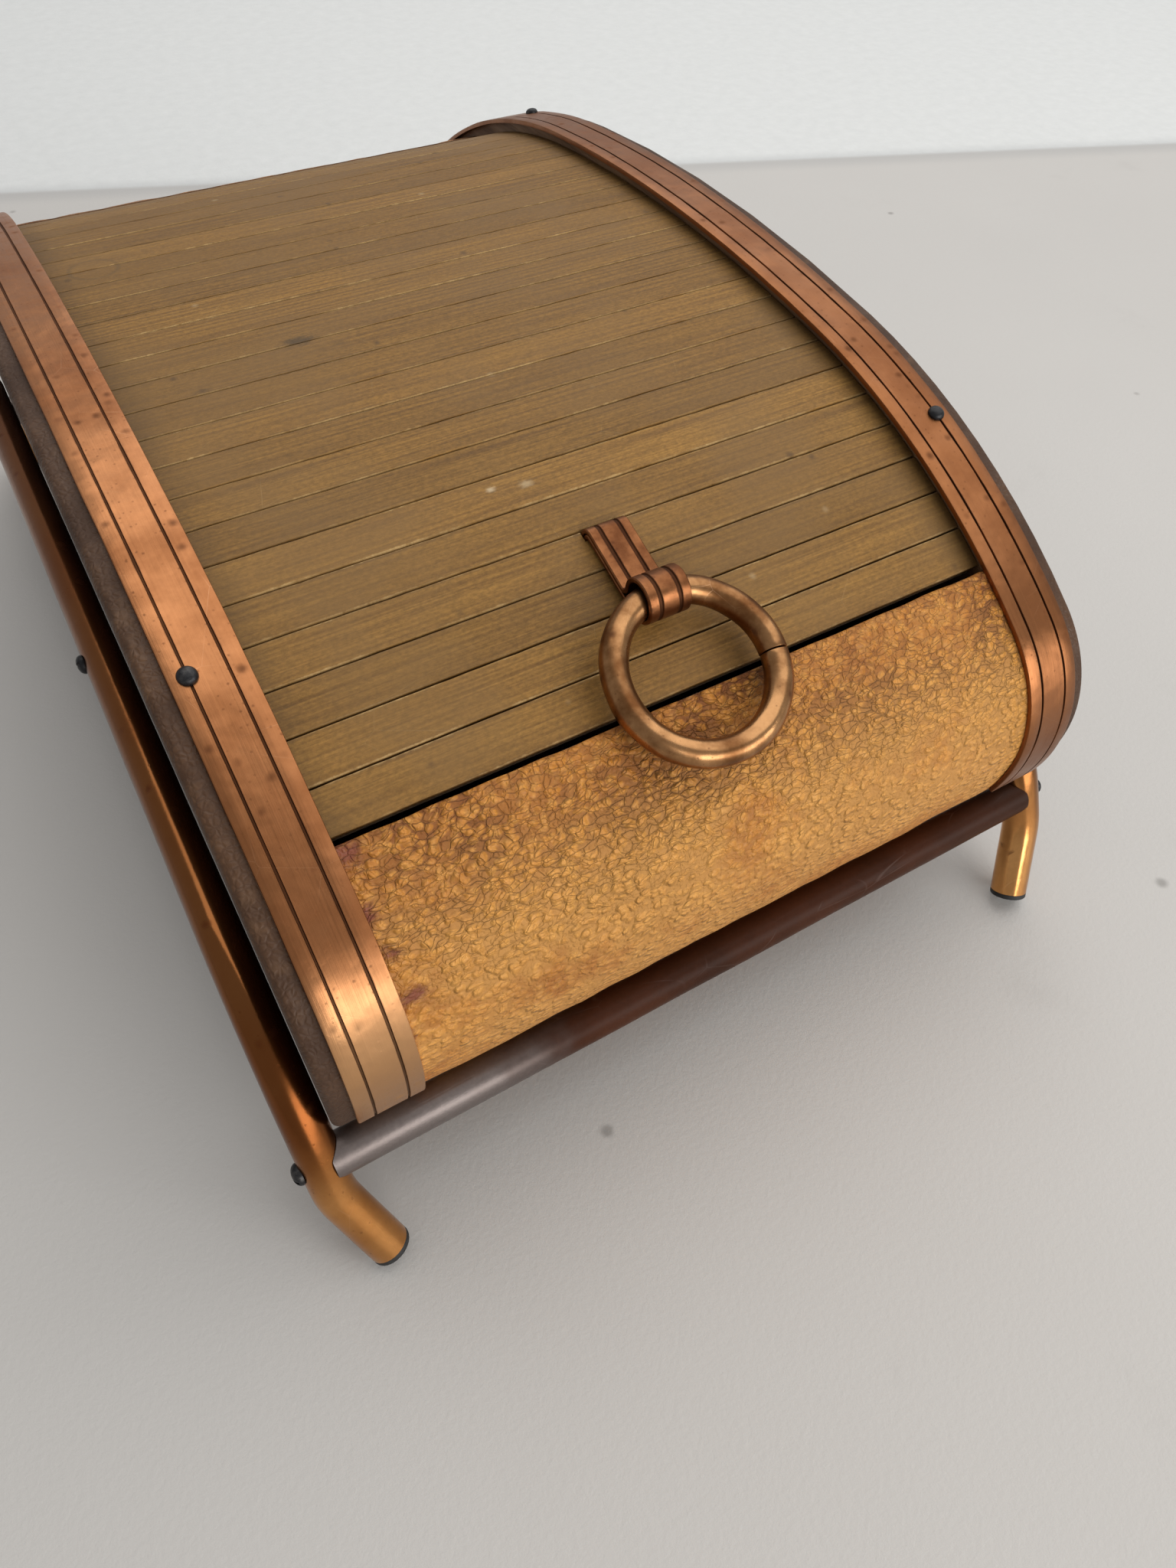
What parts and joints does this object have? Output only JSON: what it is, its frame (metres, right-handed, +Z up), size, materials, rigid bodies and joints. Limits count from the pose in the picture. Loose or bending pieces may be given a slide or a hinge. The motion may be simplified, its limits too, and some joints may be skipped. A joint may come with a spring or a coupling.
{
  "type": "tambour lid box",
  "caption": "Low pod-shaped box with a slatted roll-back lid, copper edging and a ring pull, hung on a frame of two bent copper tubes and crossbars.",
  "frame": {"origin": "on the table under the middle of the box", "axes": "+X to the box's right as seen from its front, +Y from the front with the ring to the rear, +Z up"},
  "size_m": [0.181, 0.2928, 0.108],
  "materials": {
    "olive_wood": "satin, fine grain along the slats",
    "brown_wood": "matt",
    "tan_leather": "grained, worn",
    "grey_leather": "satin",
    "suede": "napped",
    "bright_copper": "worn, with two engraved lines",
    "red_copper": "lacquered",
    "dark_steel": "black",
    "black_rubber": "matt"
  },
  "bodies": {
    "box": {"side_panel_left": "brown_wood", "side_panel_right": "brown_wood", "side_leather_left": "grey_leather", "side_leather_right": "grey_leather", "edging_left": "bright_copper", "edging_right": "bright_copper", "edging_nails_left": "dark_steel", "edging_nails_right": "dark_steel", "front_panel": "brown_wood", "front_leather": "tan_leather", "rear_panel": "brown_wood", "rear_leather": "tan_leather", "bottom_board": "brown_wood", "bottom_leather": "tan_leather", "floor_lining": "suede", "rear_partition": "brown_wood", "runner_left": "brown_wood", "runner_right": "brown_wood", "tube_frame_left": "red_copper", "tube_frame_right": "red_copper", "crossbar_front": "red_copper", "crossbar_rear": "red_copper", "frame_screws_left": "dark_steel", "frame_screws_right": "dark_steel", "foot_plugs": "black_rubber"},
    "slat_01": {"slat_01": "olive_wood"},
    "slat_02": {"slat_02": "olive_wood"},
    "slat_03": {"slat_03": "olive_wood"},
    "slat_04": {"slat_04": "olive_wood", "pull_strap": "bright_copper"},
    "slat_05": {"slat_05": "olive_wood"},
    "slat_06": {"slat_06": "olive_wood"},
    "slat_07": {"slat_07": "olive_wood"},
    "slat_08": {"slat_08": "olive_wood"},
    "slat_09": {"slat_09": "olive_wood"},
    "slat_10": {"slat_10": "olive_wood"},
    "slat_11": {"slat_11": "olive_wood"},
    "slat_12": {"slat_12": "olive_wood"},
    "slat_13": {"slat_13": "olive_wood"},
    "slat_14": {"slat_14": "olive_wood"},
    "slat_15": {"slat_15": "olive_wood"},
    "slat_16": {"slat_16": "olive_wood"},
    "slat_17": {"slat_17": "olive_wood"},
    "slat_18": {"slat_18": "olive_wood"},
    "slat_19": {"slat_19": "olive_wood"},
    "slat_20": {"slat_20": "olive_wood"},
    "slat_21": {"slat_21": "olive_wood"},
    "slat_22": {"slat_22": "olive_wood"},
    "slat_23": {"slat_23": "olive_wood"},
    "slat_24": {"slat_24": "olive_wood"},
    "slat_25": {"slat_25": "olive_wood"},
    "slat_26": {"slat_26": "olive_wood"},
    "slat_27": {"slat_27": "olive_wood"},
    "slat_28": {"slat_28": "olive_wood"},
    "pull_ring": {"pull_ring": "red_copper"}
  },
  "joints": [
    {"name": "lid_roll", "type": "hinge", "parent": "box", "child": "slat_01", "pos_m": [0, -0.02864, -0.07008], "axis": [-1, 0, 0], "range_deg": [0, 22.25]},
    {"name": "slat_02_roll", "type": "hinge", "parent": "box", "child": "slat_02", "pos_m": [0, -0.02444, -0.08708], "axis": [-1, 0, 0], "range_deg": [0, 20.2]},
    {"name": "slat_03_roll", "type": "hinge", "parent": "box", "child": "slat_03", "pos_m": [0, -0.02021, -0.10816], "axis": [-1, 0, 0], "range_deg": [0, 18.13]},
    {"name": "slat_04_roll", "type": "hinge", "parent": "box", "child": "slat_04", "pos_m": [0, -0.01593, -0.13485], "axis": [-1, 0, 0], "range_deg": [0, 16.06]},
    {"name": "slat_05_roll", "type": "hinge", "parent": "box", "child": "slat_05", "pos_m": [0, -0.01159, -0.1696], "axis": [-1, 0, 0], "range_deg": [0, 13.99]},
    {"name": "slat_06_roll", "type": "hinge", "parent": "box", "child": "slat_06", "pos_m": [0, -0.00717, -0.21657], "axis": [-1, 0, 0], "range_deg": [0, 11.92]},
    {"name": "slat_07_roll", "type": "hinge", "parent": "box", "child": "slat_07", "pos_m": [0, -0.00261, -0.2834], "axis": [-1, 0, 0], "range_deg": [0, 9.85]},
    {"name": "slat_08_roll", "type": "hinge", "parent": "box", "child": "slat_08", "pos_m": [0, 0, -0.334], "axis": [-1, 0, 0], "range_deg": [0, 8.71]},
    {"name": "slat_09_roll", "type": "hinge", "parent": "box", "child": "slat_09", "pos_m": [0, 0, -0.334], "axis": [-1, 0, 0], "range_deg": [0, 8.71]},
    {"name": "slat_10_roll", "type": "hinge", "parent": "box", "child": "slat_10", "pos_m": [0, 0, -0.334], "axis": [-1, 0, 0], "range_deg": [0, 8.71]},
    {"name": "slat_11_roll", "type": "hinge", "parent": "box", "child": "slat_11", "pos_m": [0, 0, -0.334], "axis": [-1, 0, 0], "range_deg": [0, 8.71]},
    {"name": "slat_12_roll", "type": "hinge", "parent": "box", "child": "slat_12", "pos_m": [0, 0, -0.334], "axis": [-1, 0, 0], "range_deg": [0, 8.71]},
    {"name": "slat_13_roll", "type": "hinge", "parent": "box", "child": "slat_13", "pos_m": [0, 0.0025, -0.28539], "axis": [-1, 0, 0], "range_deg": [0, 9.8]},
    {"name": "slat_14_roll", "type": "hinge", "parent": "box", "child": "slat_14", "pos_m": [0, 0.00706, -0.21792], "axis": [-1, 0, 0], "range_deg": [0, 11.87]},
    {"name": "slat_15_roll", "type": "hinge", "parent": "box", "child": "slat_15", "pos_m": [0, 0.01149, -0.17058], "axis": [-1, 0, 0], "range_deg": [0, 13.94]},
    {"name": "slat_16_roll", "type": "hinge", "parent": "box", "child": "slat_16", "pos_m": [0, 0.01633, -0.13202], "axis": [-1, 0, 0], "range_deg": [0, 16.26]},
    {"name": "slat_17_roll", "type": "hinge", "parent": "box", "child": "slat_17", "pos_m": [0, 0.02962, -0.04871], "axis": [-1, 0, 0], "range_deg": [0, 25.39]},
    {"name": "slat_18_roll", "type": "hinge", "parent": "box", "child": "slat_18", "pos_m": [0, 0.03807, -0.00964], "axis": [-1, 0, 0], "range_deg": [0, 34.52]},
    {"name": "slat_19_roll", "type": "hinge", "parent": "box", "child": "slat_19", "pos_m": [0, 0.0447, 0.01279], "axis": [-1, 0, 0], "range_deg": [0, 43.66]},
    {"name": "slat_20_roll", "type": "hinge", "parent": "box", "child": "slat_20", "pos_m": [0, 0.05043, 0.02709], "axis": [-1, 0, 0], "range_deg": [0, 52.79]},
    {"name": "slat_21_roll", "type": "hinge", "parent": "box", "child": "slat_21", "pos_m": [0, 0.05511, 0.03584], "axis": [-1, 0, 0], "range_deg": [0, 60.94]},
    {"name": "slat_22_roll", "type": "hinge", "parent": "box", "child": "slat_22", "pos_m": [0, 0.05906, 0.04129], "axis": [-1, 0, 0], "range_deg": [0, 68]},
    {"name": "slat_23_roll", "type": "hinge", "parent": "box", "child": "slat_23", "pos_m": [0, 0.06293, 0.04524], "axis": [-1, 0, 0], "range_deg": [0, 75.06]},
    {"name": "slat_24_roll", "type": "hinge", "parent": "box", "child": "slat_24", "pos_m": [0, 0.07086, 0.05102], "axis": [-1, 0, 0], "range_deg": [0, 91.36]},
    {"name": "slat_25_roll", "type": "hinge", "parent": "box", "child": "slat_25", "pos_m": [0, 0.07489, 0.05291], "axis": [-1, 0, 0], "range_deg": [0, 100.82]},
    {"name": "slat_26_roll", "type": "hinge", "parent": "box", "child": "slat_26", "pos_m": [0, 0.07853, 0.05373], "axis": [-1, 0, 0], "range_deg": [0, 110.18]},
    {"name": "slat_27_roll", "type": "hinge", "parent": "box", "child": "slat_27", "pos_m": [0, 0.08173, 0.0537], "axis": [-1, 0, 0], "range_deg": [0, 119.54]},
    {"name": "slat_28_roll", "type": "hinge", "parent": "box", "child": "slat_28", "pos_m": [0, 0.08234, 0.05373], "axis": [-1, 0, 0], "range_deg": [0, 121.31]},
    {"name": "ring_swing", "type": "hinge", "parent": "slat_04", "child": "pull_ring", "pos_m": [0, -0.09758, 0.09499], "axis": [-1, 0, 0], "range_deg": [0, 150]}
  ],
  "couplings": [
    {"joint": "slat_02_roll", "follows": "lid_roll", "ratio": 0.90699},
    {"joint": "slat_03_roll", "follows": "lid_roll", "ratio": 0.81398},
    {"joint": "slat_04_roll", "follows": "lid_roll", "ratio": 0.72097},
    {"joint": "slat_05_roll", "follows": "lid_roll", "ratio": 0.62795},
    {"joint": "slat_06_roll", "follows": "lid_roll", "ratio": 0.53494},
    {"joint": "slat_07_roll", "follows": "lid_roll", "ratio": 0.44193},
    {"joint": "slat_08_roll", "follows": "lid_roll", "ratio": 0.39054},
    {"joint": "slat_09_roll", "follows": "lid_roll", "ratio": 0.39054},
    {"joint": "slat_10_roll", "follows": "lid_roll", "ratio": 0.39054},
    {"joint": "slat_11_roll", "follows": "lid_roll", "ratio": 0.39054},
    {"joint": "slat_12_roll", "follows": "lid_roll", "ratio": 0.39054},
    {"joint": "slat_13_roll", "follows": "lid_roll", "ratio": 0.43966},
    {"joint": "slat_14_roll", "follows": "lid_roll", "ratio": 0.53267},
    {"joint": "slat_15_roll", "follows": "lid_roll", "ratio": 0.62569},
    {"joint": "slat_16_roll", "follows": "lid_roll", "ratio": 0.72977},
    {"joint": "slat_17_roll", "follows": "lid_roll", "ratio": 1.1403},
    {"joint": "slat_18_roll", "follows": "lid_roll", "ratio": 1.5509},
    {"joint": "slat_19_roll", "follows": "lid_roll", "ratio": 1.9614},
    {"joint": "slat_20_roll", "follows": "lid_roll", "ratio": 2.3719},
    {"joint": "slat_21_roll", "follows": "lid_roll", "ratio": 2.7379},
    {"joint": "slat_22_roll", "follows": "lid_roll", "ratio": 3.0554},
    {"joint": "slat_23_roll", "follows": "lid_roll", "ratio": 3.3729},
    {"joint": "slat_24_roll", "follows": "lid_roll", "ratio": 4.1052},
    {"joint": "slat_25_roll", "follows": "lid_roll", "ratio": 4.5304},
    {"joint": "slat_26_roll", "follows": "lid_roll", "ratio": 4.9512},
    {"joint": "slat_27_roll", "follows": "lid_roll", "ratio": 5.372},
    {"joint": "slat_28_roll", "follows": "lid_roll", "ratio": 5.4514}
  ]
}
